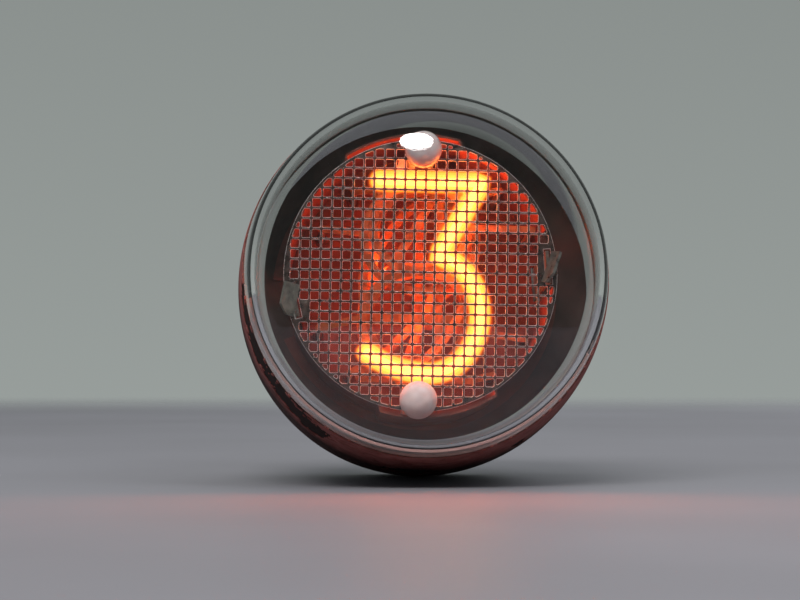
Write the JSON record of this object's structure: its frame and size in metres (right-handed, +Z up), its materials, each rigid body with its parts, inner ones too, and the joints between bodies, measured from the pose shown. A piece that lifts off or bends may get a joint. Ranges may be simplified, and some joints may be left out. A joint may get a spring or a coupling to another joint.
{
  "type": "nixie tube",
  "caption": "End-view cold-cathode numeral tube: glass bulb with lacquered side, stacked wire-lugged numerals behind a square etched anode mesh, and a ring of rigid base pins",
  "frame": {"origin": "centre of the seat, the rear face of the glass stem", "axes": "+Y along the tube's axis, out of the rear with the pins; the window faces -Y; +Z up the numerals; +X to the right for a reader"},
  "size_m": [0.0312, 0.0435, 0.0312],
  "materials": {
    "clear_glass": "clear, blown and fire polished",
    "stem_glass": "clear, pressed",
    "lacquer": "red-brown lacquer, glossy, flaked along its front edge",
    "mesh_metal": "etched nickel-iron sheet",
    "shield_metal": "dull nickel-iron sheet",
    "mica": "mica, slightly clear",
    "strap_metal": "bright nickel-iron strip",
    "post_wire": "drawn nickel wire",
    "white_ceramic": "white alumina, matt",
    "bead_ceramic": "white alumina, softly glossy",
    "getter_metal": "pressed channel ring, fired",
    "cathode_metal": "etched sheet, unlit",
    "lit_cathode": "etched sheet in its neon glow",
    "lead_wire": "drawn nickel wire",
    "pin_metal": "nickel-iron, dull"
  },
  "bodies": {
    "root": {"glass_bulb": "clear_glass", "glass_stem": "stem_glass", "lacquer_coat": "lacquer", "anode_mesh": "mesh_metal", "upper_shield": "shield_metal", "lower_shield": "shield_metal", "rear_mica": "mica", "left_strap": "strap_metal", "right_strap": "strap_metal", "left_post": "post_wire", "right_post": "post_wire", "upper_rod": "post_wire", "lower_rod": "post_wire", "upper_spacers": "white_ceramic", "lower_spacers": "white_ceramic", "upper_bead": "bead_ceramic", "lower_bead": "bead_ceramic", "getter_ring": "getter_metal", "getter_post": "post_wire", "digit_0": "cathode_metal", "digit_1": "cathode_metal", "digit_2": "cathode_metal", "digit_3": "lit_cathode", "digit_4": "cathode_metal", "digit_5": "cathode_metal", "digit_6": "cathode_metal", "digit_7": "cathode_metal", "digit_8": "cathode_metal", "digit_9": "cathode_metal", "cathode_lead_0": "lead_wire", "cathode_lead_1": "lead_wire", "cathode_lead_2": "lead_wire", "cathode_lead_3": "lead_wire", "cathode_lead_4": "lead_wire", "cathode_lead_5": "lead_wire", "cathode_lead_6": "lead_wire", "cathode_lead_7": "lead_wire", "cathode_lead_8": "lead_wire", "cathode_lead_9": "lead_wire", "pin_01": "pin_metal", "pin_02": "pin_metal", "pin_03": "pin_metal", "pin_04": "pin_metal", "pin_05": "pin_metal", "pin_06": "pin_metal", "pin_07": "pin_metal", "pin_08": "pin_metal", "pin_09": "pin_metal", "pin_10": "pin_metal", "pin_11": "pin_metal", "pin_12": "pin_metal", "pin_13": "pin_metal"}
  },
  "joints": []
}
